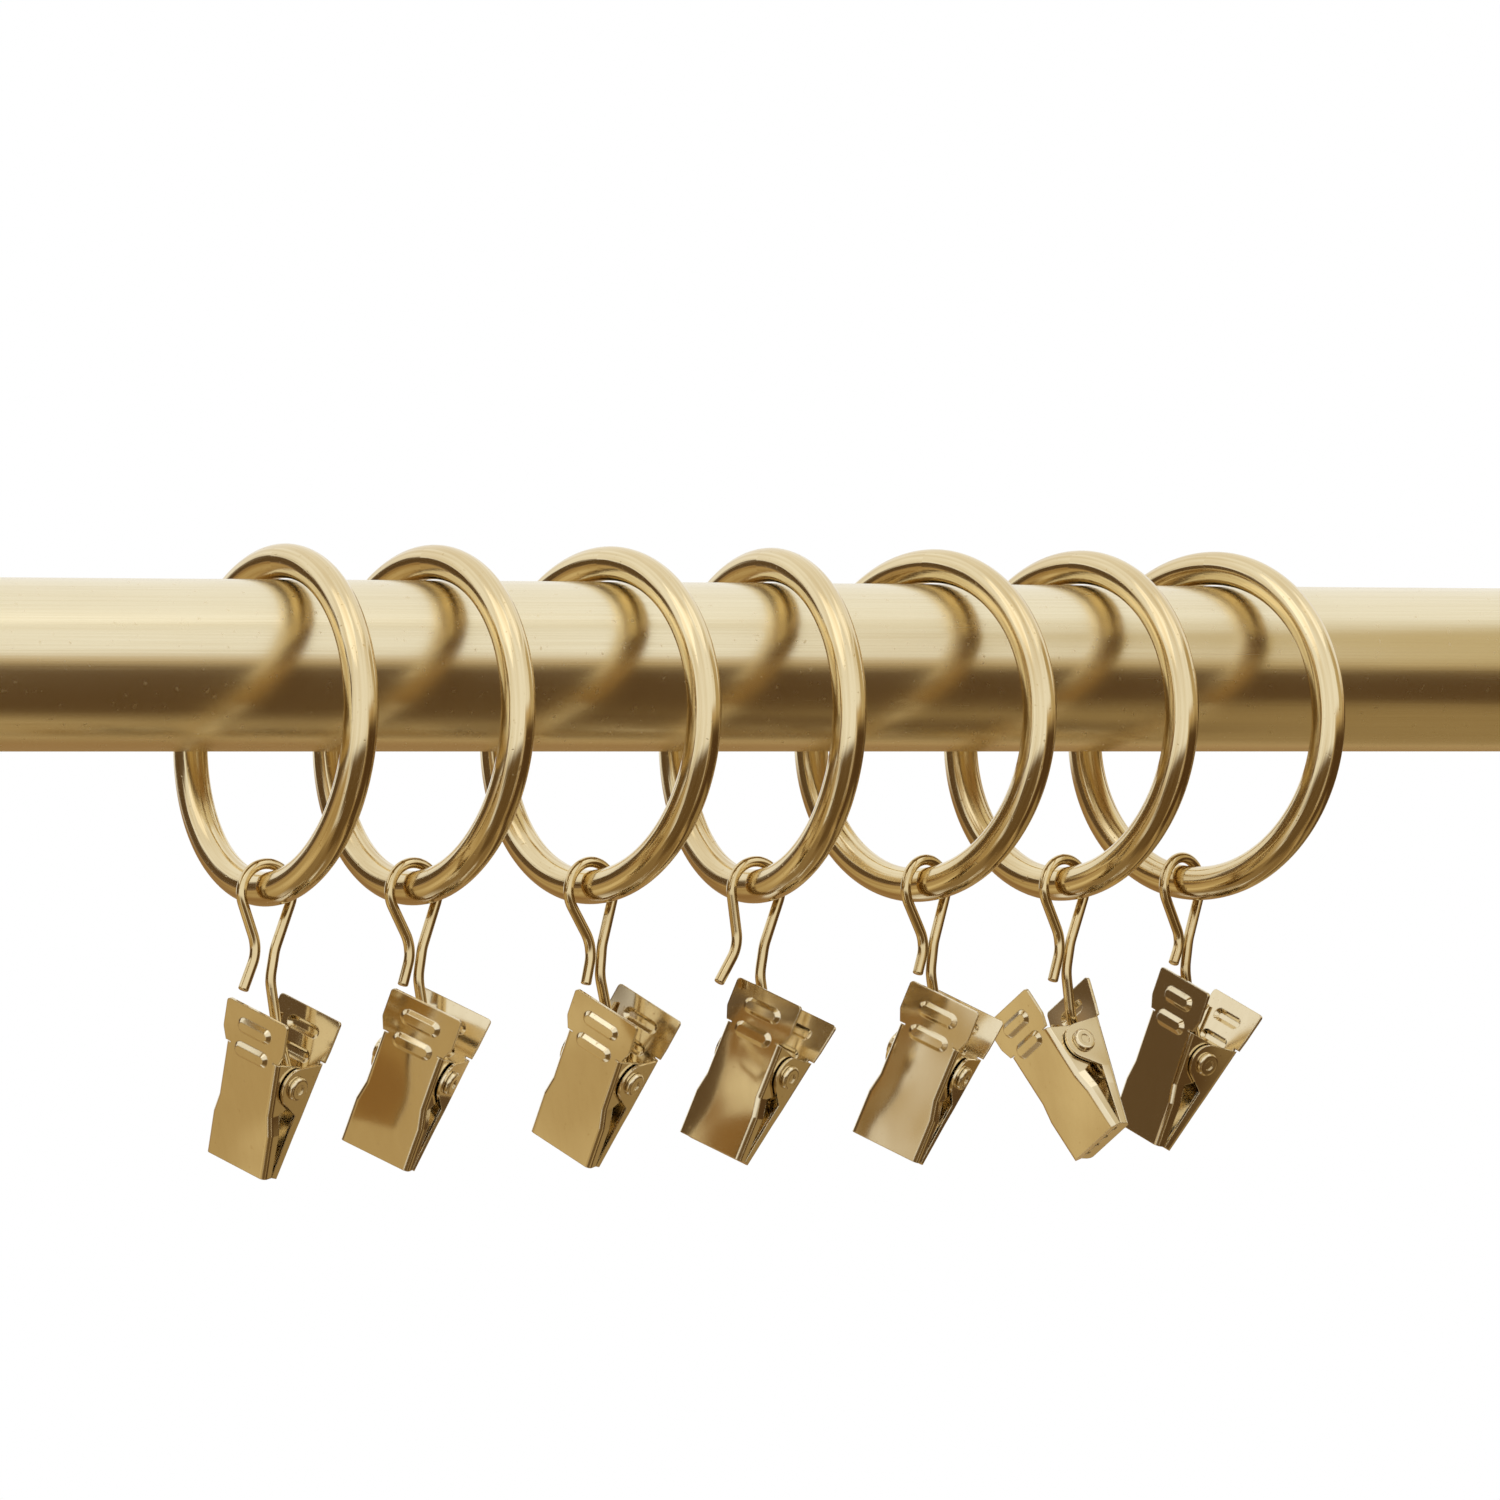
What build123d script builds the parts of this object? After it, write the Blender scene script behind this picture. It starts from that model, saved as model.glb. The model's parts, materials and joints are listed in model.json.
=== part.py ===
from build123d import *
import os
from math import acos, atan2, cos, degrees, hypot, radians, sin, tan
from typing import NamedTuple

# All sizes are in millimetres and degrees. The rod lies along X, with Z up, and the
# origin is on its axis, at the middle of the row of rings.

# Rod: two tubes, the inner one sliding out of the outer one's right end
ROD_D = 22.0
TUBE_WALL = 1.0
TUBE_PLAY = 0.5
OUTER_RIGHT = 193.0
INNER_LENGTH = 370.0
INNER_STANDOUT = 21.0
INNER_ROOM = 28.0

# Plain plugs that close the two outer ends
PLUG_FACE = 2.0
PLUG_STUB = 8.0
PLUG_PLAY = 0.05
PLUG_ROUND = 0.8

# Rings of round wire, resting on top of the rod
RING_INNER_D = 37.5
RING_WIRE_D = 4.5
REST_GAP = 0.1

# Wire hooks: a loop over the ring, a pinched neck, a shank and an eye round the rivet.
# Drops are measured down from the loop's centre, sides from its middle.
HOOK_WIRE_D = 1.4
HOOK_GAP = 0.3
LOOP_PLAY = 0.8
PINCH_SIDE = 1.2
PINCH_DROP = 7.2
TIP_SPREAD = 1.5
TIP_FLARE = 0.6
NECK_SIDE = 0.5
NECK_DROP = 11.0
SHANK_SIDE = 1.4
SHANK_DROP = 16.5
EYE_SIDE = 0.8
EYE_DROP = 22.5
EYE_PLAY = 0.75
EYE_TURN = 265.0
PINCH_BEND = 5.0
SHANK_BEND = 6.0
WIRE_END_ROUND = 0.25

# Clips: two folded sheet jaws on a rivet. Heights are measured from the rivet's axis.
SHEET = 0.4
JAW_WIDTH = 10.5
FINGER_LENGTH = 9.6
NOSE_LENGTH = 12.2
RIVET_TO_FACE = 3.8
JAW_SPLAY = 10.5
CORNER_ROUND = 0.5
FOLD_ROUND = 0.7
EAR_R = 2.6
EAR_RISE = 3.8
EAR_FALL = 4.3
BACK_EAR_INSET = 0.1
EAR_PLAY = 0.2
FLANGE_INSET = 0.15
FLANGE_START = 3.0
FLANGE_DEPTH = 1.9
JOGGLE_TOP = 3.6
JOGGLE_BOTTOM = 6.2
SHOULDER = 1.8
SHOULDER_ROUND = 1.2
PLATE_LAP = 1.0
BEND_RELIEF = 0.15
BITE_GAP = 0.06
TOOTH_COUNT = 4
TOOTH_PITCH = 2.3
TOOTH_R = 0.35

# Two pressed ribs across each finger plate
RIB_LENGTH = 5.8
RIB_WIDTH = 2.1
RIB_RISE = 0.5
RIB_SLOPE = 45.0
RIB_HEIGHTS = (3.6, 6.9)

# Rivet: a plain pin with a domed head and a rolled head
PIN_D = 1.8
PIN_PLAY = 0.05
HEAD_D = 3.2
HEAD_THICK = 0.6
HEAD_ROUND = 0.4
HEAD_DIMPLE_D = 1.3
HEAD_DIMPLE = 0.2
ROLLED_HOLE_D = 1.0
ROLLED_HOLE_DEPTH = 2.5

# Torsion spring on the rivet, pushing the two finger plates apart
SPRING_WIRE_D = 0.5
SPRING_PLAY = 0.33
SPRING_PITCH = 0.66
SPRING_TURNS = 2
SPRING_END_GAP = 0.25
SPRING_LEG_HEIGHT = 7.2
SPRING_LEG_GAP = 0.1


class Hang(NamedTuple):
    """How one ring, its hook and its clip hang on the rod."""

    along: float
    ring_turn: float
    ring_lean: float
    hook_round: float
    hook_swing: float
    pinch_gap: float
    tip_drop: float
    shank_extra: float
    eye_along: float
    clip_turn: float
    clip_tilt: float
    clip_roll: float


HANGS = (
    Hang(-78.0, -6.5, 4.0, 1.0, 0.0, 1.15, 12.4, 0.8, 0.8, 20.0, -21.5, -2.5),
    Hang(-54.0, -3.0, 4.5, 0.5, 1.0, 0.15, 12.0, 0.2, 0.8, 34.0, -24.5, 0.0),
    Hang(-25.0, 1.0, 4.5, 0.5, 5.0, 0.15, 12.0, 0.5, 0.8, 20.0, -29.0, -3.5),
    Hang(2.0, -6.5, 3.5, 1.5, 0.5, 2.60, 12.0, 0.2, 0.8, 25.0, -22.0, 16.0),
    Hang(29.5, 6.0, 4.5, 5.0, 2.0, 0.15, 11.2, 0.6, 0.8, 23.0, -24.5, 8.0),
    Hang(54.5, 4.0, 5.0, 2.0, -1.0, 0.15, 12.4, -0.3, 0.8, -9.0, 28.5, -9.0),
    Hang(78.0, 10.0, 4.5, -7.5, 0.5, 0.15, 10.4, -0.3, 0.8, -11.0, -20.0, 18.0),
)

# Sizes that follow from those above
ROD_R = ROD_D / 2
OUTER_LEFT = INNER_LENGTH - INNER_STANDOUT - OUTER_RIGHT + PLUG_STUB + INNER_ROOM
INNER_R = ROD_R - TUBE_WALL - TUBE_PLAY
RING_WIRE_R = RING_WIRE_D / 2
RING_R = RING_INNER_D / 2 + RING_WIRE_R
HOOK_R = HOOK_WIRE_D / 2
LOOP_R = RING_WIRE_R + LOOP_PLAY + HOOK_R
PIN_R = PIN_D / 2
EYE_R = PIN_R + EYE_PLAY + HOOK_R
INNER_FACE = RIVET_TO_FACE - SHEET
BACK_EAR_HALF = JAW_WIDTH / 2 - BACK_EAR_INSET
FRONT_EAR_HALF = BACK_EAR_HALF - SHEET - EAR_PLAY
FLANGE_HALF = JAW_WIDTH / 2 - FLANGE_INSET
BITE_FACE = NOSE_LENGTH * tan(radians(JAW_SPLAY)) + BITE_GAP / 2
SPRING_R = PIN_R + SPRING_PLAY + SPRING_WIRE_D / 2
UP = Vector(0, 0, 1)


def tube(outer_r, start, end):
    """A straight tube along X."""
    at = Location(((start + end) / 2, 0, 0), (0, 90, 0))
    return at * (Cylinder(outer_r, end - start) - Cylinder(outer_r - TUBE_WALL, end - start))


def plug(tube_r, end, side):
    """A flush end plug: side is 1 at a tube's right end and -1 at its left end."""
    face = Cylinder(tube_r, PLUG_FACE, align=(Align.CENTER, Align.CENTER, Align.MIN))
    face = fillet(face.edges().group_by(Axis.Z)[-1], PLUG_ROUND)
    stub_r = tube_r - TUBE_WALL - PLUG_PLAY
    stub = Cylinder(stub_r, PLUG_STUB, align=(Align.CENTER, Align.CENTER, Align.MAX))
    return Location((end, 0, 0), (0, 90 * side, 0)) * (face + stub)


def tangent_point(point, centre, radius, side):
    """Where a line from a point touches a circle, on its right (1) or left (-1) as seen from the point."""
    run_x = point[0] - centre[0]
    run_y = point[1] - centre[1]
    turn = side * acos(radius / hypot(run_x, run_y))
    angle = atan2(run_y, run_x) + turn
    return (centre[0] + radius * cos(angle), centre[1] + radius * sin(angle))


def bent_run(points, bend):
    """Straight runs joined by tangent arcs, no larger than the runs leave room for."""
    radii = []
    for before, corner, after in zip(points, points[1:], points[2:]):
        leg_in = Vector(corner) - Vector(before)
        leg_out = Vector(after) - Vector(corner)
        room = 0.45 * min(leg_in.length, leg_out.length)
        half_turn = radians(leg_in.get_angle(leg_out)) / 2
        radii.append(min(bend, room / tan(half_turn)))
    return FilletPolyline(*points, radius=radii)


def eye_centre(hang):
    """Where a hook's eye lies in the hook's own plane."""
    return (EYE_SIDE, -EYE_DROP - hang.shank_extra)


def hook_path(hang):
    """The hook's centre line in its own plane, from its free tip to the end of its eye."""
    loop = (0.0, 0.0)
    eye = eye_centre(hang)
    left_pinch = (PINCH_SIDE - HOOK_WIRE_D - hang.pinch_gap, -PINCH_DROP)
    right_pinch = (PINCH_SIDE, -PINCH_DROP)
    tip = (left_pinch[0] - TIP_SPREAD - TIP_FLARE * hang.pinch_gap, -hang.tip_drop)
    neck = (NECK_SIDE, -NECK_DROP)
    shank = (SHANK_SIDE, -SHANK_DROP)
    left_touch = tangent_point(left_pinch, loop, LOOP_R, -1)
    right_touch = tangent_point(right_pinch, loop, LOOP_R, 1)
    eye_touch = tangent_point(shank, eye, EYE_R, -1)
    free_strand = bent_run([tip, left_pinch, left_touch], PINCH_BEND)
    over = ThreePointArc(left_touch, (0, LOOP_R), right_touch)
    long_strand = bent_run([right_touch, right_pinch, neck, shank, eye_touch], SHANK_BEND)
    start = degrees(atan2(eye_touch[1] - eye[1], eye_touch[0] - eye[0]))
    curl = CenterArc(eye, EYE_R, start, -EYE_TURN)
    return Wire([*free_strand.edges(), *over.edges(), *long_strand.edges(), *curl.edges()])


def hook(hang):
    """A hook of round wire, with its loop's centre at the origin and its plane XY."""
    path = hook_path(hang)
    section = Plane(path @ 0, z_dir=path % 0) * Circle(HOOK_R)
    wire = sweep(section, path=path)
    ends = wire.edges().filter_by(GeomType.CIRCLE).sort_by_distance(path @ 0)[:1]
    return fillet(ends, WIRE_END_ROUND)


def channel_block(stations, inset):
    """A block under the jaw's face, as wide as each station says, with its outer folds rounded."""
    face = RIVET_TO_FACE - inset
    depth = face + 2 * EAR_R
    sections = []
    for height, half in stations:
        section = Pos(0, face - depth / 2) * Rectangle(2 * (half - inset), depth)
        section = fillet(section.vertices().group_by(Axis.Y)[-1], FOLD_ROUND - inset)
        sections.append(Pos(0, 0, height) * section)
    return loft(sections, ruled=True)


def across(side_view):
    """A side view, drawn in depth and height, carried across the whole jaw."""
    drawn = Plane(origin=(0, 0, 0), x_dir=(0, 1, 0), z_dir=(1, 0, 0)) * side_view
    return extrude(drawn, JAW_WIDTH, both=True)


def side_view():
    """A jaw's walls seen from the side: a round ear about the rivet, and a narrow flange below."""
    top = (RIVET_TO_FACE, EAR_RISE)
    bottom = (RIVET_TO_FACE, -EAR_FALL)
    upper = tangent_point(top, (0, 0), EAR_R, 1)
    lower = tangent_point(bottom, (0, 0), EAR_R, -1)
    ear = Polygon((0, 0), lower, bottom, top, upper, align=None) + Circle(EAR_R)
    flange = Polygon(
        (RIVET_TO_FACE, -FLANGE_START),
        (RIVET_TO_FACE - FLANGE_DEPTH, -FLANGE_START),
        (BITE_FACE, -NOSE_LENGTH),
        (RIVET_TO_FACE, -NOSE_LENGTH),
        align=None,
    )
    return ear + flange


def folded_sheet(ear_half):
    """The jaw below its finger plate: a web folded back into ears and nose flanges."""
    stations = [
        (-NOSE_LENGTH, FLANGE_HALF),
        (-JOGGLE_BOTTOM, FLANGE_HALF),
        (-JOGGLE_TOP, ear_half),
        (EAR_RISE, ear_half),
    ]
    channel = channel_block(stations, 0) - channel_block(stations, SHEET)
    pin_hole = Location((0, 0, 0), (0, 90, 0)) * Cylinder(PIN_R + PIN_PLAY, 2 * JAW_WIDTH)
    return (channel & across(side_view())) - pin_hole


def lip():
    """The toothed lip across a jaw's nose, which meets the other jaw's lip."""
    low_corner = (Align.CENTER, Align.MIN, Align.MIN)
    bar = Box(2 * (FLANGE_HALF - SHEET), INNER_FACE - BITE_FACE, SHEET, align=low_corner)
    bar = Pos(0, BITE_FACE, -NOSE_LENGTH) * bar
    for place in GridLocations(TOOTH_PITCH, 0, TOOTH_COUNT, 1):
        bar -= Pos(place.position.X, BITE_FACE, -NOSE_LENGTH) * Cylinder(TOOTH_R, 3 * SHEET)
    return bar


def finger_plate(ear_half):
    """The flat upper plate that a finger presses."""
    wide = JAW_WIDTH / 2
    neck = ear_half - FOLD_ROUND - FLANGE_INSET
    outline = Polygon(
        (wide, FINGER_LENGTH),
        (wide, EAR_RISE + SHOULDER),
        (ear_half, EAR_RISE + BEND_RELIEF),
        (neck, EAR_RISE + BEND_RELIEF),
        (neck, EAR_RISE - PLATE_LAP),
        (-neck, EAR_RISE - PLATE_LAP),
        (-neck, EAR_RISE + BEND_RELIEF),
        (-ear_half, EAR_RISE + BEND_RELIEF),
        (-wide, EAR_RISE + SHOULDER),
        (-wide, FINGER_LENGTH),
        align=None,
    )
    corners = outline.vertices().group_by(Axis.Y)
    outline = fillet(corners[-1], CORNER_ROUND)
    outline = fillet(outline.vertices().sort_by(Axis.X)[:1], SHOULDER_ROUND)
    outline = fillet(outline.vertices().sort_by(Axis.X)[-1:], SHOULDER_ROUND)
    drawn = Pos(0, RIVET_TO_FACE, 0) * Rot(90, 0, 0) * outline
    return extrude(drawn, SHEET, dir=(0, -1, 0))


def jaw(ear_half):
    """One jaw, upright, with the rivet along X and its face towards +Y, its two ribs pressed outwards."""
    sheet = finger_plate(ear_half) + folded_sheet(ear_half) + lip()
    rib = SlotOverall(RIB_LENGTH, RIB_WIDTH)
    dent = offset(rib, -SHEET / 2)
    for height in RIB_HEIGHTS:
        sheet += extrude(Pos(0, RIVET_TO_FACE, height) * Rot(-90, 0, 0) * rib, RIB_RISE, taper=RIB_SLOPE)
        sheet -= extrude(Pos(0, INNER_FACE, height) * Rot(-90, 0, 0) * dent, RIB_RISE, taper=RIB_SLOPE)
    return sheet


def back_jaw():
    """The jaw whose ears are outside, leaning outwards at the top."""
    return Rot(-JAW_SPLAY, 0, 0) * jaw(BACK_EAR_HALF)


def front_jaw():
    """The jaw whose ears are inside, facing the other way."""
    return Rot(JAW_SPLAY, 0, 0) * Rot(0, 0, 180) * jaw(FRONT_EAR_HALF)


def rivet():
    """The clip's pin along X: a dimpled domed head at +X, a rolled hollow head at -X."""
    reach = BACK_EAR_HALF + PIN_PLAY
    from_below = (Align.CENTER, Align.CENTER, Align.MIN)
    cap = Cylinder(HEAD_D / 2, HEAD_THICK, align=from_below)
    cap = fillet(cap.edges().group_by(Axis.Z)[-1], HEAD_ROUND)
    dimple = Pos(0, 0, HEAD_THICK) * Cylinder(HEAD_DIMPLE_D / 2, 2 * HEAD_DIMPLE)
    hole = Pos(0, 0, HEAD_THICK) * Cylinder(ROLLED_HOLE_D / 2, 2 * ROLLED_HOLE_DEPTH)
    domed = Location((reach, 0, 0), (0, 90, 0))
    rolled = Location((-reach, 0, 0), (0, -90, 0))
    pin = Location((0, 0, 0), (0, 90, 0)) * Cylinder(PIN_R, 2 * reach)
    return pin + domed * (cap - dimple) + rolled * cap - rolled * hole


def spring():
    """A torsion spring round the rivet's far half, with a leg up to each finger plate."""
    leg_r = SPRING_WIRE_D / 2
    contact = (INNER_FACE - leg_r - SPRING_LEG_GAP, SPRING_LEG_HEIGHT)
    splay = radians(JAW_SPLAY)
    leg_tip = (
        contact[0] * cos(splay) + contact[1] * sin(splay),
        contact[1] * cos(splay) - contact[0] * sin(splay),
    )
    touch = tangent_point(leg_tip, (0, 0), SPRING_R, -1)
    start = atan2(touch[1], touch[0])
    coil_turn = 360 * SPRING_TURNS + 180 + 2 * degrees(start)
    climb = SPRING_PITCH * coil_turn / 360
    leg_length = hypot(leg_tip[0] - touch[0], leg_tip[1] - touch[1])
    drift = leg_length * SPRING_PITCH / (2 * radians(180) * SPRING_R)
    coil_start = SHEET + SPRING_END_GAP + leg_r - FRONT_EAR_HALF
    seat = Plane(
        origin=(coil_start, 0, 0),
        x_dir=(0, cos(start), sin(start)),
        z_dir=(1, 0, 0),
    )
    coil = seat * Helix(SPRING_PITCH, climb, SPRING_R, lefthand=True)
    back_leg = Line(Vector(coil_start - drift, *leg_tip), coil @ 0)
    front_tip = Vector(coil_start + climb + drift, -leg_tip[0], leg_tip[1])
    front_leg = Line(coil @ 1, front_tip)
    path = Wire([back_leg.edge(), *coil.edges(), front_leg.edge()])
    section = Plane(path @ 0, z_dir=path % 0) * Circle(leg_r)
    return sweep(section, path=path, is_frenet=True)


def ring_plane(hang):
    """The ring's own plane: Z along its axis, and Y up its face."""
    turn = radians(hang.ring_turn)
    lean = radians(hang.ring_lean)
    flat_axis = Vector(cos(turn), sin(turn), 0)
    axis = flat_axis * cos(lean) - UP * sin(lean)
    drop = RING_R * cos(lean) - ROD_R - REST_GAP - RING_WIRE_R
    side = UP.cross(flat_axis)
    return Plane(origin=(hang.along, 0, -drop), x_dir=side, z_dir=axis)


def hook_plane(hang):
    """The hook's own plane, with the loop's centre as origin, X across the ring's wire and Y up."""
    ring_at = ring_plane(hang)
    round_by = radians(hang.hook_round)
    turn = radians(hang.ring_turn)
    swing = radians(hang.hook_swing)
    wire_at = ring_at.from_local_coords((-RING_R * sin(round_by), -RING_R * cos(round_by), 0))
    loop_at = wire_at - UP * (LOOP_PLAY - HOOK_GAP)
    flat_axis = Vector(cos(turn), sin(turn), 0)
    across_wire = flat_axis * cos(swing) + UP * sin(swing)
    facing = Vector(sin(turn), -cos(turn), 0)
    return Plane(origin=loop_at, x_dir=across_wire, z_dir=facing)


def clip_plane(hang):
    """The clip's own frame: X along the rivet, Y towards the back jaw, Z up its fingers."""
    hook_at = hook_plane(hang)
    heading = radians(hang.ring_turn + hang.clip_turn - 90)
    tilt = radians(hang.clip_tilt)
    roll = radians(hang.clip_roll)
    pin = Vector(cos(heading) * cos(tilt), sin(heading) * cos(tilt), sin(tilt))
    level_up = (UP - pin * UP.dot(pin)).normalized()
    level_back = level_up.cross(pin)
    clip_up = level_up * cos(roll) + level_back * sin(roll)
    eye_at = hook_at.from_local_coords((*eye_centre(hang), 0))
    return Plane(origin=eye_at - pin * hang.eye_along, x_dir=pin, z_dir=clip_up)


def rod_pieces():
    """The two tubes and their end plugs, by node name."""
    inner_right = OUTER_RIGHT + INNER_STANDOUT
    return {
        "outer_tube": tube(ROD_R, -OUTER_LEFT, OUTER_RIGHT),
        "inner_tube": tube(INNER_R, inner_right - INNER_LENGTH, inner_right),
        "outer_plug": plug(ROD_R, -OUTER_LEFT, -1),
        "inner_plug": plug(INNER_R, inner_right, 1),
    }


def hanging_pieces():
    """Every ring with its hook and clip, by node name."""
    clip = {
        "front_jaw": front_jaw(),
        "back_jaw": back_jaw(),
        "rivet": rivet(),
        "spring": spring(),
    }
    pieces = {}
    for number, hang in enumerate(HANGS, start=1):
        pieces[f"ring_{number}"] = ring_plane(hang).location * Torus(RING_R, RING_WIRE_R)
        pieces[f"hook_{number}"] = hook_plane(hang).location * hook(hang)
        for name, shape in clip.items():
            pieces[f"{name}_{number}"] = clip_plane(hang).location * shape
    return pieces


os.makedirs("parts", exist_ok=True)
for node, piece in {**rod_pieces(), **hanging_pieces()}.items():
    export_step(piece, f"parts/{node}.step")
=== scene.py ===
"""Looks of an extendable curtain rod with clip rings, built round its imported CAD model."""
import json
import logging
import math
from dataclasses import dataclass
from enum import Enum
from typing import Dict, List, Mapping, Optional, Sequence, Tuple, Union

import bpy
import numpy as np
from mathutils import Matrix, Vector


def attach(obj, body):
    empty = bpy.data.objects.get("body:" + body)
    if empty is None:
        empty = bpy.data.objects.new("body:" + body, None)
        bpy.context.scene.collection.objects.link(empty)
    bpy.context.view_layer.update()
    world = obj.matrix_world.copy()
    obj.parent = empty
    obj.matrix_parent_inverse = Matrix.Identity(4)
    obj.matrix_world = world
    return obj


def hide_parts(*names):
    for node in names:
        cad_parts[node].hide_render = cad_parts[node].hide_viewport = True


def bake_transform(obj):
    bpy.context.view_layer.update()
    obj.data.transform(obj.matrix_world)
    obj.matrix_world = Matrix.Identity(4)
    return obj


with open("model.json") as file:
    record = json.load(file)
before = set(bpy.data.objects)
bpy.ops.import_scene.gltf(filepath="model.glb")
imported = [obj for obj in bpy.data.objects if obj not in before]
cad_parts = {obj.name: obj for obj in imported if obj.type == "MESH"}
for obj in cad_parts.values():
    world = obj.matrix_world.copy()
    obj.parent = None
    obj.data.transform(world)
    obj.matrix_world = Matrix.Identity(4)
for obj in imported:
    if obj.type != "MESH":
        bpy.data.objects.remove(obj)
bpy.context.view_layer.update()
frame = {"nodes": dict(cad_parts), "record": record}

MM = 0.001
FULL_TURN = 2 * math.pi
LOG = logging.getLogger("curtain_rod")

Colour = Tuple[float, float, float, float]
Point = Tuple[float, float, float]
Corner = Tuple[float, float]
Face = Tuple[int, int, int, int]
Operand = Union["Value", float]

WHITE: Colour = (1.0, 1.0, 1.0, 1.0)
RIGHT_OF_ROW: Point = (0.13, 0.0, 0.0)

# The sockets of a Mix node that is set to colours.
MIX_SHARE = 0
MIX_FIRST = 6
MIX_SECOND = 7
MIX_RESULT = 2

# The value that a noise varies about.
NOISE_MIDDLE = 0.5
BEVEL_SAMPLES = 4


class Detail(Enum):
    """How many finer layers a noise has."""

    SMOOTH = 0.0
    PLAIN = 1.0
    FINE = 3.0


class Value:
    """One node output, with arithmetic that adds Math nodes to its tree."""

    def __init__(self, graph: "Graph", socket: Optional[bpy.types.NodeSocket]) -> None:
        """Wraps an output of one of a graph's nodes, or none for a node that has no output."""
        self.graph = graph
        self.socket = socket

    def _math(self, operation: str, first: Operand, second: Operand) -> "Value":
        """Adds a Math node and gives its result."""
        return self.graph.node("ShaderNodeMath", {"operation": operation}, {0: first, 1: second})

    def __add__(self, other: Operand) -> "Value":
        """This value plus another."""
        return self._math("ADD", self, other)

    def __radd__(self, other: Operand) -> "Value":
        """Another value plus this one."""
        return self._math("ADD", other, self)

    def __sub__(self, other: Operand) -> "Value":
        """This value less another."""
        return self._math("SUBTRACT", self, other)

    def __rsub__(self, other: Operand) -> "Value":
        """Another value less this one."""
        return self._math("SUBTRACT", other, self)

    def __mul__(self, other: Operand) -> "Value":
        """This value times another."""
        return self._math("MULTIPLY", self, other)

    def __rmul__(self, other: Operand) -> "Value":
        """Another value times this one."""
        return self._math("MULTIPLY", other, self)

    def at_most(self, other: Operand) -> "Value":
        """The smaller of this value and another."""
        return self._math("MINIMUM", self, other)

    def sibling(self, output: Union[int, str]) -> "Value":
        """Another output of the same node."""
        return Value(self.graph, self.socket.node.outputs[output])


class Graph:
    """A node tree, filled through one method."""

    def __init__(self, tree: bpy.types.NodeTree) -> None:
        """Empties a tree and keeps it."""
        self.tree = tree
        tree.nodes.clear()

    def node(
        self,
        kind: str,
        settings: Optional[Mapping[str, object]] = None,
        sockets: Optional[Mapping[Union[int, str], object]] = None,
        output: Union[int, str] = 0,
    ) -> Value:
        """Adds any node.

        Args:
            kind: the node's type.
            settings: its own settings, set before its sockets.
            sockets: the values or links of its inputs.
            output: which output to give back.

        Returns:
            The chosen output.
        """
        made = self.tree.nodes.new(kind)
        for name, setting in (settings or {}).items():
            setattr(made, name, setting)
        for key, given in (sockets or {}).items():
            if isinstance(given, Value):
                self.tree.links.new(given.socket, made.inputs[key])
            else:
                made.inputs[key].default_value = given
        chosen = made.outputs[output] if len(made.outputs) else None
        return Value(self, chosen)

    def ramp(self, value: Value, low: float, high: float) -> Value:
        """A smooth step of a value, from 0 at low to 1 at high."""
        limits = {"Value": value, "From Min": low, "From Max": high}
        return self.node("ShaderNodeMapRange", {"interpolation_type": "SMOOTHSTEP"}, limits)

    def blend(self, share: Operand, first: Colour, second: Colour) -> Value:
        """Mixes two colours, where share is the part of the second one."""
        sockets = {MIX_SHARE: share, MIX_FIRST: first, MIX_SECOND: second}
        return self.node("ShaderNodeMix", {"data_type": "RGBA"}, sockets, MIX_RESULT)

    def mix(self, share: Operand, first: Value, second: Value) -> Value:
        """Mixes two shaders, where share is the part of the second one."""
        return self.node("ShaderNodeMixShader", sockets={0: share, 1: first, 2: second})

    def noise(self, place: Value, stretch: Sequence[float], detail: Detail) -> Value:
        """Noise from 0 to 1, with a scale of its own along each axis."""
        scaled = self.node("ShaderNodeVectorMath", {"operation": "MULTIPLY"}, {0: place, 1: tuple(stretch)})
        return self.node(
            "ShaderNodeTexNoise",
            sockets={"Vector": scaled, "Scale": 1.0, "Detail": detail.value},
        )


def new_material(name: str) -> Tuple[bpy.types.Material, Graph]:
    """Makes a material whose node tree is empty.

    Args:
        name: the material's name.

    Returns:
        The material, and its tree to fill.
    """
    made = bpy.data.materials.new(name)
    made.use_nodes = True
    return made, Graph(made.node_tree)


def add_object(name: str, data: bpy.types.ID) -> bpy.types.Object:
    """Puts an object in the scene.

    Args:
        name: its name.
        data: its mesh, light or camera.

    Returns:
        The object.
    """
    made = bpy.data.objects.new(name, data)
    bpy.context.scene.collection.objects.link(made)
    return made


def face_corners(along: Sequence[float], across: Sequence[float]) -> List[Corner]:
    """The UV places of a face's corners, from its two ends in U and its two ends in V."""
    return [(along[0], across[0]), (along[1], across[0]), (along[1], across[1]), (along[0], across[1])]


def quad_mesh(
    name: str,
    points: Sequence[Sequence[float]],
    faces: Sequence[Face],
    layer: str,
    corners: Sequence[Corner],
) -> bpy.types.Mesh:
    """Makes a mesh of four-sided faces, laid out in one UV layer.

    Args:
        name: the mesh's name.
        points: its points in metres.
        faces: the numbers of each face's points.
        layer: the UV layer's name.
        corners: the places of the faces' corners in that layer.

    Returns:
        The mesh.
    """
    mesh = bpy.data.meshes.new(name)
    mesh.from_pydata(points, [], faces)
    laid = mesh.uv_layers.new(name=layer)
    laid.data.foreach_set("uv", np.array(corners, np.float32).ravel())
    return mesh


def direction(turn: float, rise: float) -> Point:
    """A way out from the object, one unit long.

    Args:
        turn: degrees from the front towards the right.
        rise: degrees above level.

    Returns:
        Its X, Y and Z.
    """
    turned = math.radians(turn)
    flat = math.cos(math.radians(rise))
    return math.sin(turned) * flat, -math.cos(turned) * flat, math.sin(math.radians(rise))


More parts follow.
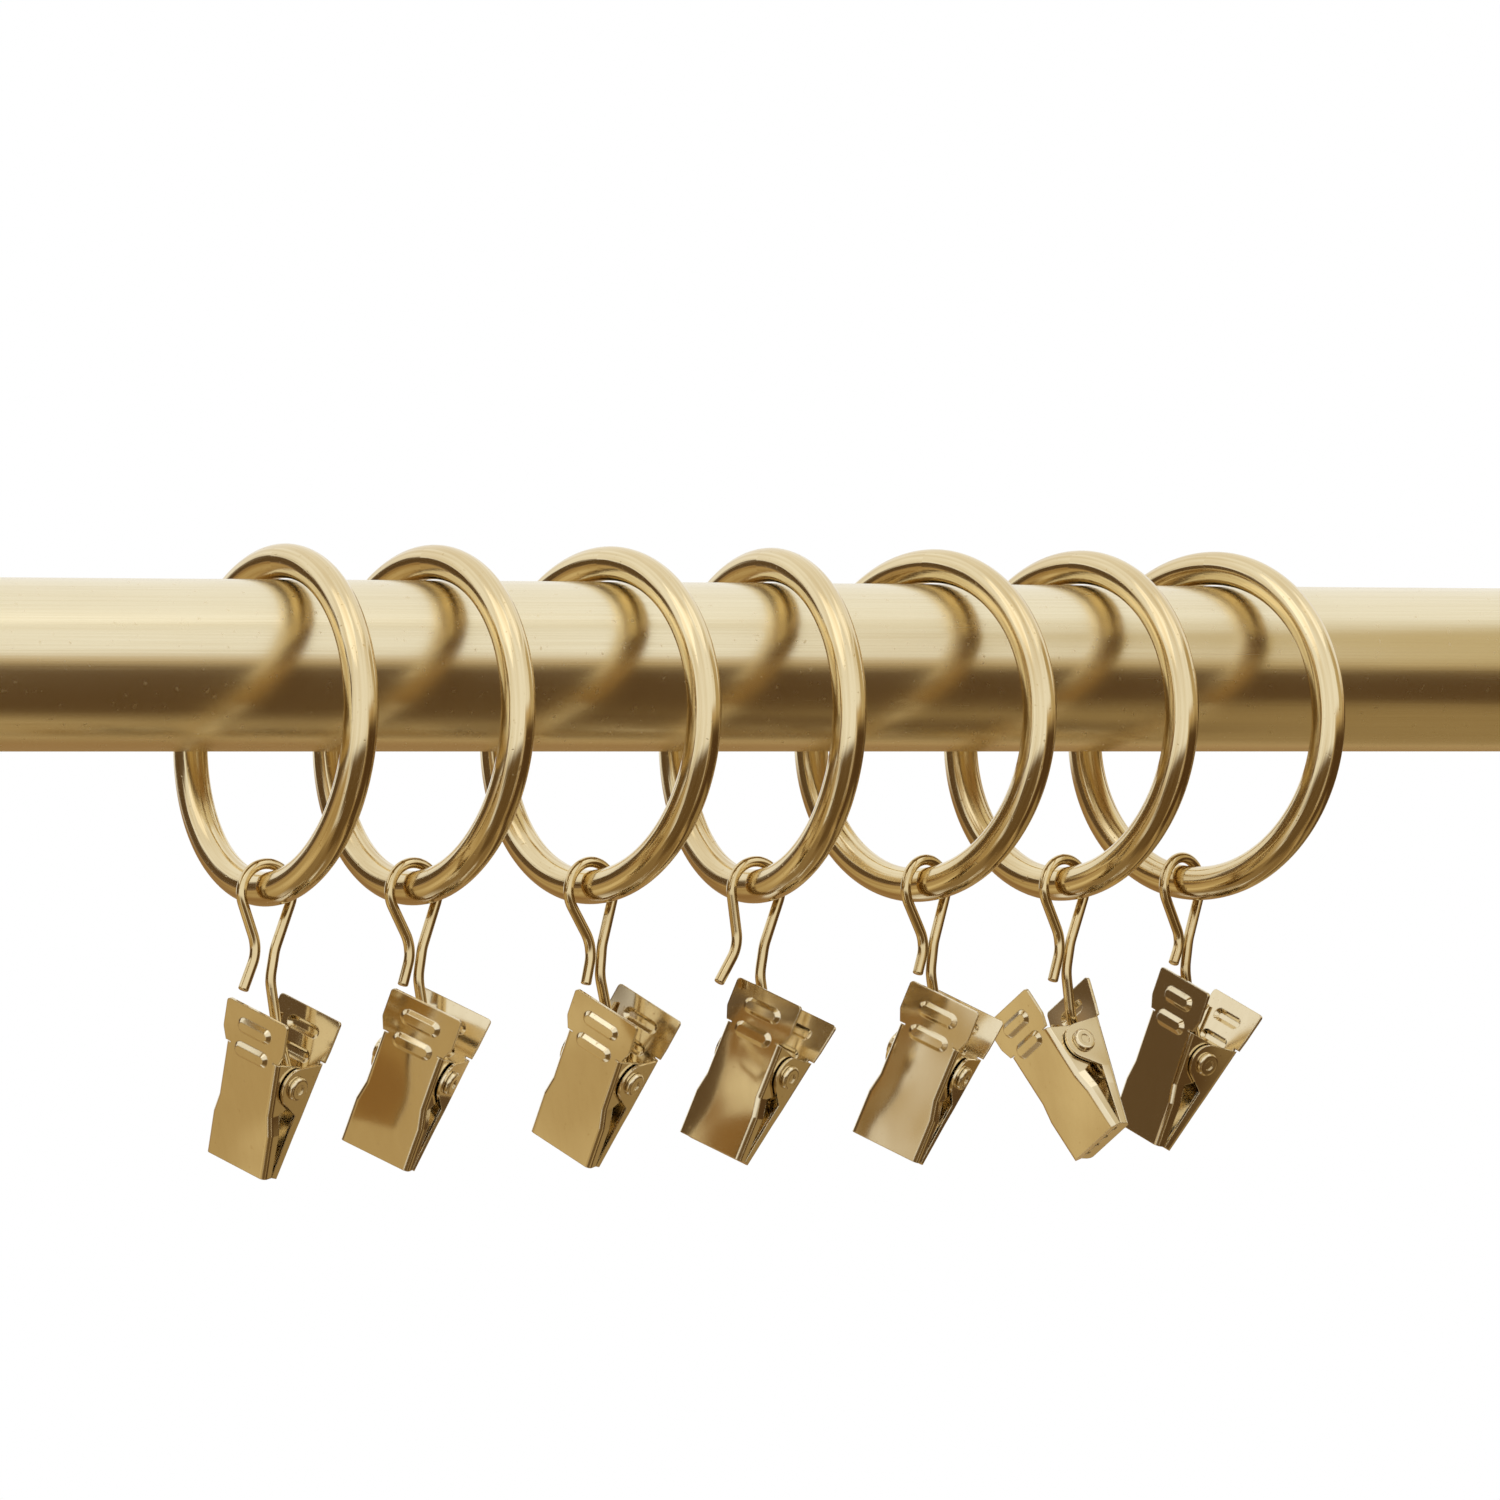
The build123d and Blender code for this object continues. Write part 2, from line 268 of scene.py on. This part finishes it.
class Grain(Enum):
    """Which way a metal's working marks run, as the scale of a noise along each axis."""

    ALONG_ROD = (22.0, 5200.0, 5200.0)
    ALONG_WIRE = (7.0, 24.0, 1.0)
    ROLLED_SHEET = (900.0, 900.0, 260.0)
    TURNED_FACE = (600.0, 2400.0, 2400.0)


class Coordinates(Enum):
    """Where a finish is laid."""

    ROW = "Object"
    ALONG_PIECE = "UV"


@dataclass(frozen=True)
class MetalFinish:
    """A gold-coloured metal finish with working marks, pits and soft edges.

    Heights, depths and the edges' rounding are in metres. Limits are where a noise's step starts and ends.
    """

    name: str
    pale: Colour
    deep: Colour
    roughness: float
    roughness_spread: float
    grain: Grain
    grain_height: float
    grain_tint: float
    pit_scale: float
    pit_depth: float
    edge_round: float
    coat: float
    coordinates: Coordinates = Coordinates.ROW
    patch_scale: float = 45.0
    patch_tint: float = 0.22
    wave_height: float = 0.0
    wave_scale: float = 95.0
    grain_limits: Tuple[float, float] = (0.30, 0.75)
    patch_limits: Tuple[float, float] = (0.35, 0.75)
    pit_limits: Tuple[float, float] = (0.70, 0.78)
    pit_tint: float = 0.35
    patch_roughness: float = 0.06
    pit_roughness: float = 0.12
    bump_strength: float = 0.6
    coat_roughness: float = 0.12

    def material(self) -> bpy.types.Material:
        """Builds the finish.

        Returns:
            A new material.
        """
        made, graph = new_material(self.name)
        row = graph.node("ShaderNodeTexCoord", output=Coordinates.ROW.value)
        place = graph.node("ShaderNodeTexCoord", output=self.coordinates.value)
        grain = graph.noise(place, self.grain.value, Detail.FINE)
        patch = graph.noise(row, (self.patch_scale,) * 3, Detail.FINE)
        fleck = graph.noise(row, (self.pit_scale,) * 3, Detail.PLAIN)
        wave = graph.noise(row, (self.wave_scale,) * 3, Detail.SMOOTH)
        pit = graph.ramp(fleck, *self.pit_limits)
        worn = (
            graph.ramp(grain, *self.grain_limits) * self.grain_tint
            + graph.ramp(patch, *self.patch_limits) * self.patch_tint
            + pit * self.pit_tint
        )
        rough = (
            (grain - NOISE_MIDDLE) * self.roughness_spread
            + (patch - NOISE_MIDDLE) * self.patch_roughness
            + pit * self.pit_roughness
            + self.roughness
        )
        height = grain * self.grain_height - pit * self.pit_depth + wave * self.wave_height
        edge = graph.node("ShaderNodeBevel", {"samples": BEVEL_SAMPLES}, {"Radius": self.edge_round})
        bump = graph.node("ShaderNodeBump", sockets={
            "Strength": self.bump_strength,
            "Distance": 1.0,
            "Height": height,
            "Normal": edge,
        })
        shader = graph.node("ShaderNodeBsdfPrincipled", sockets={
            "Base Color": graph.blend(worn.at_most(1.0), self.pale, self.deep),
            "Roughness": rough,
            "Normal": bump,
            "Metallic": 1.0,
            "Coat Weight": self.coat,
            "Coat Roughness": self.coat_roughness,
        })
        graph.node("ShaderNodeOutputMaterial", sockets={"Surface": shader})
        return made


ROD_SATIN = MetalFinish(
    name="rod_brushed_satin",
    pale=(0.83, 0.740, 0.520, 1.0),
    deep=(0.70, 0.580, 0.350, 1.0),
    roughness=0.24,
    roughness_spread=0.12,
    grain=Grain.ALONG_ROD,
    grain_height=6e-6,
    grain_tint=0.30,
    pit_scale=1100.0,
    pit_depth=1e-6,
    edge_round=0.00015,
    coat=0.03,
    patch_tint=0.14,
)
RING_POLISH = MetalFinish(
    name="ring_drawn_wire_polish",
    pale=(0.81, 0.690, 0.440, 1.0),
    deep=(0.56, 0.400, 0.175, 1.0),
    roughness=0.13,
    roughness_spread=0.12,
    grain=Grain.ALONG_WIRE,
    grain_height=7.0e-5,
    grain_tint=0.60,
    pit_scale=1900.0,
    pit_depth=1.5e-5,
    edge_round=0.00004,
    coat=0.10,
    coordinates=Coordinates.ALONG_PIECE,
)
CLIP_PLATING = MetalFinish(
    name="clip_bright_plating",
    pale=(0.80, 0.690, 0.470, 1.0),
    deep=(0.62, 0.480, 0.270, 1.0),
    roughness=0.11,
    roughness_spread=0.03,
    grain=Grain.ROLLED_SHEET,
    grain_height=1e-6,
    grain_tint=0.12,
    pit_scale=1700.0,
    pit_depth=1e-6,
    edge_round=0.00020,
    coat=0.10,
    patch_tint=0.10,
    wave_height=1.0e-3,
)
HOOK_PLATING = MetalFinish(
    name="hook_wire_plating",
    pale=(0.76, 0.620, 0.360, 1.0),
    deep=(0.50, 0.360, 0.165, 1.0),
    roughness=0.13,
    roughness_spread=0.05,
    grain=Grain.ROLLED_SHEET,
    grain_height=1e-6,
    grain_tint=0.35,
    pit_scale=2300.0,
    pit_depth=2e-6,
    edge_round=0.00005,
    coat=0.0,
)
SPRING_WIRE = MetalFinish(
    name="spring_wire_plating",
    pale=(0.66, 0.500, 0.250, 1.0),
    deep=(0.45, 0.310, 0.130, 1.0),
    roughness=0.34,
    roughness_spread=0.06,
    grain=Grain.ROLLED_SHEET,
    grain_height=0.0,
    grain_tint=0.30,
    pit_scale=2600.0,
    pit_depth=0.0,
    edge_round=0.00003,
    coat=0.05,
)
PLUG_SATIN = MetalFinish(
    name="plug_turned_satin",
    pale=(0.79, 0.650, 0.385, 1.0),
    deep=(0.62, 0.465, 0.235, 1.0),
    roughness=0.30,
    roughness_spread=0.10,
    grain=Grain.TURNED_FACE,
    grain_height=5e-6,
    grain_tint=0.35,
    pit_scale=1500.0,
    pit_depth=1e-5,
    edge_round=0.00015,
    coat=0.12,
)


class Dresser:
    """Makes each finish once, and puts it on carried-over CAD nodes."""

    def __init__(self) -> None:
        """Starts with no material made."""
        self.made: Dict[str, bpy.types.Material] = {}

    def material(self, finish: MetalFinish) -> bpy.types.Material:
        """Gives a finish's material.

        Args:
            finish: the finish wanted.

        Returns:
            Its one material.
        """
        if finish.name not in self.made:
            self.made[finish.name] = finish.material()
        return self.made[finish.name]

    def dress(self, node: str, finish: MetalFinish, crease: float = 32.0) -> None:
        """Finishes a CAD node, with its curved faces shaded smooth.

        Args:
            node: the node's name.
            finish: what it is finished in.
            crease: the angle in degrees above which an edge stays sharp.
        """
        mesh = frame["nodes"][node].data
        mesh.materials.clear()
        mesh.materials.append(self.material(finish))
        if not mesh.has_custom_normals:
            mesh.shade_smooth()
            mesh.set_sharp_from_angle(angle=math.radians(crease))
        LOG.info("dressed %s in %s", node, finish.name)


@dataclass
class Rod:
    """The two telescoping tubes and their end plugs."""

    dresser: Dresser
    tubes: Tuple[str, ...] = ("outer_tube", "inner_tube")
    plugs: Tuple[str, ...] = ("outer_plug", "inner_plug")

    def dress(self) -> None:
        """Finishes the tubes in brushed satin and the plugs in turned satin."""
        for node in self.tubes:
            self.dresser.dress(node, ROD_SATIN)
        for node in self.plugs:
            self.dresser.dress(node, PLUG_SATIN)


@dataclass
class Ring:
    """One ring of drawn wire: round, with faint flats from the die and a fine seam on its inside.

    Each of the flats is a count round the wire, a height as a share of its radius, and a phase in radians.
    The seam's half width is an angle in radians, and its reach, clear and slope are shares of that.
    """

    number: int
    dresser: Dresser
    radius: float = 21.0 * MM
    wire_radius: float = 2.25 * MM
    steps_round: int = 176
    steps_section: int = 72
    flats: Tuple[Tuple[int, float, float], ...] = ((5, 0.010, 0.6), (9, 0.005, 2.1), (14, 0.0026, 0.3))
    seam_depth: float = 0.11 * MM
    seam_half: float = 0.055
    seam_turn: float = math.radians(168.0)
    seam_points: int = 13
    seam_reach: float = 2.0
    seam_clear: float = 2.4
    seam_slope: float = 0.6

    @property
    def node(self) -> str:
        """The CAD node's name."""
        return f"ring_{self.number}"

    def place(self) -> Tuple[np.ndarray, np.ndarray, np.ndarray, np.ndarray]:
        """Reads the ring's centre and axes from its CAD node.

        Returns:
            The centre, two directions in the ring's plane, and its axis.
        """
        points = np.array([v.co for v in frame["nodes"][self.node].data.vertices], float)
        low, high = points.min(0), points.max(0)
        centre = (low + high) / 2
        spread = np.linalg.svd(points - centre, full_matrices=False)[2]
        axis = spread[2] * math.copysign(1.0, spread[2][0])
        up = np.array((0.0, 0.0, 1.0)) - axis * axis[2]
        up /= np.linalg.norm(up)
        return centre, np.cross(up, axis), up, axis

    def section_turns(self) -> np.ndarray:
        """Angles round the wire, closer together beside the seam.

        Returns:
            The angles, from the ring's outside.
        """
        plain = np.linspace(0.0, FULL_TURN, self.steps_section, endpoint=False)
        clear = plain[np.abs(plain - self.seam_turn) > self.seam_clear * self.seam_half]
        spread = np.linspace(-self.seam_reach, self.seam_reach, self.seam_points)
        beside = self.seam_turn + self.seam_half * spread
        return np.sort(np.concatenate((clear, beside)))

    def wire_radii(self, turns: np.ndarray) -> np.ndarray:
        """The wire's radius at each angle of its section.

        Args:
            turns: the angles.

        Returns:
            The radii in metres.
        """
        share = np.ones_like(turns)
        for count, height, phase in self.flats:
            share += height * (np.cos(count * turns + phase) - 1.0) / 2
        seam = np.exp(-(((turns - self.seam_turn) / (self.seam_slope * self.seam_half)) ** 2))
        return self.wire_radius * share - self.seam_depth * seam

    def points(self, turns: np.ndarray) -> np.ndarray:
        """The ring's points, one section of its wire after another.

        Args:
            turns: the angles of a section's points.

        Returns:
            A row of X, Y and Z in metres for each point.
        """
        centre, side, up, axis = self.place()
        radii = self.wire_radii(turns)
        rounds = np.linspace(0.0, FULL_TURN, self.steps_round, endpoint=False)
        outward = np.outer(np.sin(rounds), side) + np.outer(np.cos(rounds), up)
        reach = self.radius + radii * np.cos(turns)
        lift = radii * np.sin(turns)
        points = centre + outward[:, None, :] * reach[None, :, None] + axis * lift[None, :, None]
        return points.reshape(-1, 3)

    def build(self) -> bpy.types.Object:
        """Makes the ring's mesh, with U along it and V round its wire.

        Returns:
            The ring, riding on its body in place of the CAD node.
        """
        turns = self.section_turns()
        count, around = self.steps_round, len(turns)
        along = (np.arange(count + 1) / count).tolist()
        across = (np.append(turns, turns[0] + FULL_TURN) / FULL_TURN).tolist()
        faces: List[Face] = []
        corners: List[Corner] = []
        for i in range(count):
            here = i * around
            there = (i + 1) % count * around
            for j in range(around):
                after = (j + 1) % around
                faces.append((here + j, there + j, there + after, here + after))
                corners += face_corners(along[i:i + 2], across[j:j + 2])
        name = f"{self.node}_wire"
        mesh = quad_mesh(name, self.points(turns).tolist(), faces, "along_wire", corners)
        mesh.update()
        mesh.shade_smooth()
        mesh.materials.append(self.dresser.material(RING_POLISH))
        made = add_object(name, mesh)
        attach(made, self.node)
        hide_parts(self.node)
        LOG.info("built %s with %d faces", made.name, len(faces))
        return made


@dataclass
class Clip:
    """One hook and sprung clip."""

    number: int
    dresser: Dresser
    plated: Tuple[str, ...] = ("front_jaw", "back_jaw", "rivet")

    def dress(self) -> None:
        """Finishes the clip's sheet, rivet and hook."""
        for piece in self.plated:
            self.dresser.dress(f"{piece}_{self.number}", CLIP_PLATING)
        self.dresser.dress(f"hook_{self.number}", HOOK_PLATING)


@dataclass
class Spring:
    """One clip's torsion spring."""

    number: int
    dresser: Dresser
    before_rivet: float = 0.6 * MM
    behind_rivet: float = 1.4 * MM

    @property
    def node(self) -> str:
        """The CAD node's name."""
        return f"spring_{self.number}"

    def middle(self, piece: str) -> np.ndarray:
        """The mean point of one of the clip's jaws, from its name without the number."""
        points = frame["nodes"][f"{piece}_{self.number}"].data.vertices
        return np.array([v.co for v in points], float).mean(0)

    def bend(self) -> Tuple[np.ndarray, np.ndarray]:
        """Where the spring starts to follow the back jaw, and where it follows it fully.

        Returns:
            Two points, in front of the rivet's axis and behind it.
        """
        joints = {joint["name"]: joint for joint in frame["record"]["behaviour"]["joints"]}
        opening = joints[f"jaw_{self.number}_open"]
        pivot, pin = np.array(opening["pos_m"]), np.array(opening["axis"])
        back = self.middle("back_jaw") - self.middle("front_jaw")
        back -= pin * (back @ pin)
        back /= np.linalg.norm(back)
        return pivot - back * self.before_rivet, pivot + back * self.behind_rivet

    def build(self) -> bpy.types.Object:
        """Makes the spring from the CAD wire, in place of its CAD node.

        Returns:
            The spring.
        """
        name = f"{self.node}_wire"
        mesh = frame["nodes"][self.node].data.copy()
        mesh.name = name
        mesh.materials.clear()
        mesh.materials.append(self.dresser.material(SPRING_WIRE))
        made = add_object(name, mesh)
        start, end = self.bend()
        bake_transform(made)
        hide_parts(self.node)
        LOG.info("built %s", made.name)
        return made


@dataclass(frozen=True)
class Card:
    """A studio card that only reflections see: a patch of a sphere about a point.

    Turn and rise are its limits in degrees, and soft is how far in from its edges it fades.
    """

    name: str
    colour: Colour
    turn: Tuple[float, float]
    rise: Tuple[float, float]
    soft: float
    distance: float = 1.0
    centre: Point = (0.0, 0.0, 0.0)
    steps: int = 24

    def build(self) -> bpy.types.Object:
        """Makes the card.

        Returns:
            The card.
        """
        share = np.linspace(0.0, 1.0, self.steps + 1)
        turns = self.turn[0] + share * (self.turn[1] - self.turn[0])
        rises = self.rise[0] + share * (self.rise[1] - self.rise[0])
        ways = [direction(turn, rise) for rise in rises for turn in turns]
        points = [[part * self.distance for part in way] for way in ways]
        faces: List[Face] = []
        corners: List[Corner] = []
        row = self.steps + 1
        for i in range(self.steps):
            for j in range(self.steps):
                first = i * row + j
                faces.append((first, first + 1, first + row + 1, first + row))
                corners += face_corners(share[j:j + 2], share[i:i + 2])
        mesh = quad_mesh(self.name, points, faces, "card", corners)
        mesh.materials.append(self.material())
        made = add_object(self.name, mesh)
        made.location = self.centre
        made.visible_camera = False
        made.visible_diffuse = False
        made.visible_transmission = False
        made.visible_shadow = False
        LOG.info("hung card %s", self.name)
        return made

    def material(self) -> bpy.types.Material:
        """The card's colour, which fades out towards its edges.

        Returns:
            A new material.
        """
        made, graph = new_material(self.name)
        place = graph.node("ShaderNodeTexCoord", output=Coordinates.ALONG_PIECE.value)
        along = graph.node("ShaderNodeSeparateXYZ", sockets={0: place})
        across = along.sibling(1)
        reach = along.at_most(1 - along).at_most(across.at_most(1 - across))
        share = graph.ramp(reach, 0.0, self.soft)
        paint = graph.node("ShaderNodeEmission", sockets={"Color": self.colour, "Strength": 1.0})
        clear = graph.node("ShaderNodeBsdfTransparent")
        graph.node("ShaderNodeOutputMaterial", sockets={"Surface": graph.mix(share, clear, paint)})
        return made


@dataclass(frozen=True)
class Lamp:
    """A square soft lamp that faces the object."""

    name: str
    turn: float
    rise: float
    distance: float
    size: float
    power: float

    def build(self) -> bpy.types.Object:
        """Makes the lamp.

        Returns:
            The lamp's object.
        """
        light = bpy.data.lights.new(self.name, "AREA")
        light.shape = "SQUARE"
        light.size = self.size
        light.energy = self.power
        made = add_object(self.name, light)
        back = Vector(direction(self.turn, self.rise))
        made.location = back * self.distance
        made.rotation_mode = "QUATERNION"
        made.rotation_quaternion = (-back).to_track_quat("-Z", "Y")
        LOG.info("hung lamp %s", self.name)
        return made


@dataclass
class Studio:
    """White room, soft lamps, reflection cards and the camera.

    Lengths are in metres and turns in degrees, but the lens and its sensor are in millimetres.
    """

    even_light: float = 0.7
    floor_drop: float = 1.4
    floor_half: float = 6.0
    floor_white: float = 0.96
    floor_colour: Colour = (0.90, 0.90, 0.89, 1.0)
    lens: float = 440.2
    sensor: float = 36.0
    near: float = 0.05
    far: float = 60.0
    camera_turn: float = 39.0
    camera_back: float = 2.390
    camera_drop: float = 0.0108
    lamps: Tuple[Lamp, ...] = (
        Lamp("key_softbox", turn=-75.0, rise=52.0, distance=1.7, size=1.1, power=1.6),
        Lamp("fill_softbox", turn=35.0, rise=60.0, distance=1.8, size=1.0, power=0.9),
    )
    cards: Tuple[Card, ...] = (
        Card(
            "dark_card_right", (0.100, 0.055, 0.022, 1.0),
            turn=(8.0, 128.0), rise=(-62.0, 6.0), soft=0.16,
        ),
        Card(
            "gold_card_right", (0.60, 0.45, 0.235, 1.0),
            turn=(2.0, 134.0), rise=(-68.0, 14.0), soft=0.11, distance=1.02,
        ),
        Card(
            "tan_card_left", (0.52, 0.385, 0.190, 1.0),
            turn=(-172.0, -70.0), rise=(-52.0, -4.0), soft=0.16, distance=1.05,
        ),
        Card(
            "pale_card_left", (0.74, 0.60, 0.350, 1.0),
            turn=(-152.0, -96.0), rise=(-44.0, -19.0), soft=0.40, distance=1.03,
        ),
        Card(
            "brown_card_left", (0.13, 0.082, 0.040, 1.0),
            turn=(-168.0, -90.0), rise=(-5.0, 21.0), soft=0.12, distance=1.04,
        ),
        Card(
            "brown_card_front", (0.16, 0.100, 0.042, 1.0),
            turn=(-74.0, 14.0), rise=(-78.0, -5.0), soft=0.14, distance=1.06,
        ),
        Card(
            "tan_card_behind", (0.36, 0.225, 0.100, 1.0),
            turn=(98.0, 262.0), rise=(-50.0, 0.0), soft=0.10, distance=1.08,
        ),
        Card(
            "tan_card_under", (0.30, 0.205, 0.095, 1.0),
            turn=(-180.0, 180.0), rise=(-90.0, -40.0), soft=0.10, distance=1.15,
        ),
        Card(
            "grey_card_over", (0.80, 0.75, 0.640, 1.0),
            turn=(36.0, 78.0), rise=(37.0, 46.0), soft=0.30, distance=1.10,
        ),
        Card(
            "gold_card_end", (0.60, 0.49, 0.290, 1.0),
            turn=(28.0, 78.0), rise=(0.0, 46.0), soft=0.16, distance=0.35, centre=RIGHT_OF_ROW,
        ),
        Card(
            "tan_card_end", (0.34, 0.24, 0.110, 1.0),
            turn=(34.0, 140.0), rise=(-62.0, -33.0), soft=0.18, distance=0.35, centre=RIGHT_OF_ROW,
        ),
    )

    def build(self) -> None:
        """Sets the room up."""
        self.world()
        self.floor()
        for lamp in self.lamps:
            lamp.build()
        for card in self.cards:
            card.build()
        self.camera()
        bpy.context.scene.view_settings.view_transform = "Standard"

    @staticmethod
    def seen_white(graph: Graph) -> Value:
        """Whether a ray comes straight from the camera, a reflection or a clear piece.

        Args:
            graph: the tree to add to.

        Returns:
            1 for such a ray and 0 for others.
        """
        camera = graph.node("ShaderNodeLightPath", output="Is Camera Ray")
        seen = camera + camera.sibling("Is Glossy Ray") + camera.sibling("Is Transmission Ray")
        return seen.at_most(1.0)

    def world(self) -> None:
        """A white backdrop all round, whose even light is a little weaker than it looks."""
        made = bpy.data.worlds.new("white_room")
        made.use_nodes = True
        bpy.context.scene.world = made
        graph = Graph(made.node_tree)
        strength = self.seen_white(graph) * (1.0 - self.even_light) + self.even_light
        sky = graph.node("ShaderNodeBackground", sockets={"Color": WHITE, "Strength": strength})
        graph.node("ShaderNodeOutputWorld", sockets={"Surface": sky})

    def floor(self) -> None:
        """A pale floor under the rod, clear from below."""
        made, graph = new_material("pale_floor")
        below = graph.node("ShaderNodeNewGeometry", output="Backfacing")
        matte = graph.node("ShaderNodeBsdfDiffuse", sockets={"Color": self.floor_colour})
        white = graph.node("ShaderNodeEmission", sockets={"Color": WHITE, "Strength": 1.0})
        lit = graph.mix(self.seen_white(graph) * self.floor_white, matte, white)
        clear = graph.node("ShaderNodeBsdfTransparent")
        graph.node("ShaderNodeOutputMaterial", sockets={"Surface": graph.mix(below, lit, clear)})
        half, low = self.floor_half, -self.floor_drop
        mesh = bpy.data.meshes.new("floor")
        points = [(-half, -half, low), (half, -half, low), (half, half, low), (-half, half, low)]
        mesh.from_pydata(points, [], [(0, 1, 2, 3)])
        mesh.materials.append(made)
        floor = add_object("floor", mesh)

    def camera(self) -> None:
        """A long lens, level with the rod, looking at it from the left of square on."""
        data = bpy.data.cameras.new("camera")
        data.lens = self.lens
        data.sensor_width = self.sensor
        data.clip_start = self.near
        data.clip_end = self.far
        made = add_object("camera", data)
        back = Vector(direction(-self.camera_turn, 0.0)) * self.camera_back
        made.location = back + Vector((0.0, 0.0, -self.camera_drop))
        made.rotation_euler = (math.radians(90.0), 0.0, -math.radians(self.camera_turn))
        bpy.context.scene.camera = made


def main() -> None:
    """Builds every sub-assembly in order and sets up the studio."""
    logging.basicConfig(level=logging.INFO, format="%(message)s")
    dresser = Dresser()
    Rod(dresser).dress()
    rings = sorted(int(node.split("_")[1]) for node in frame["nodes"] if node.startswith("ring_"))
    for number in rings:
        Ring(number, dresser).build()
        Clip(number, dresser).dress()
        Spring(number, dresser).build()
    Studio().build()


if __name__ == "__main__":
    main()
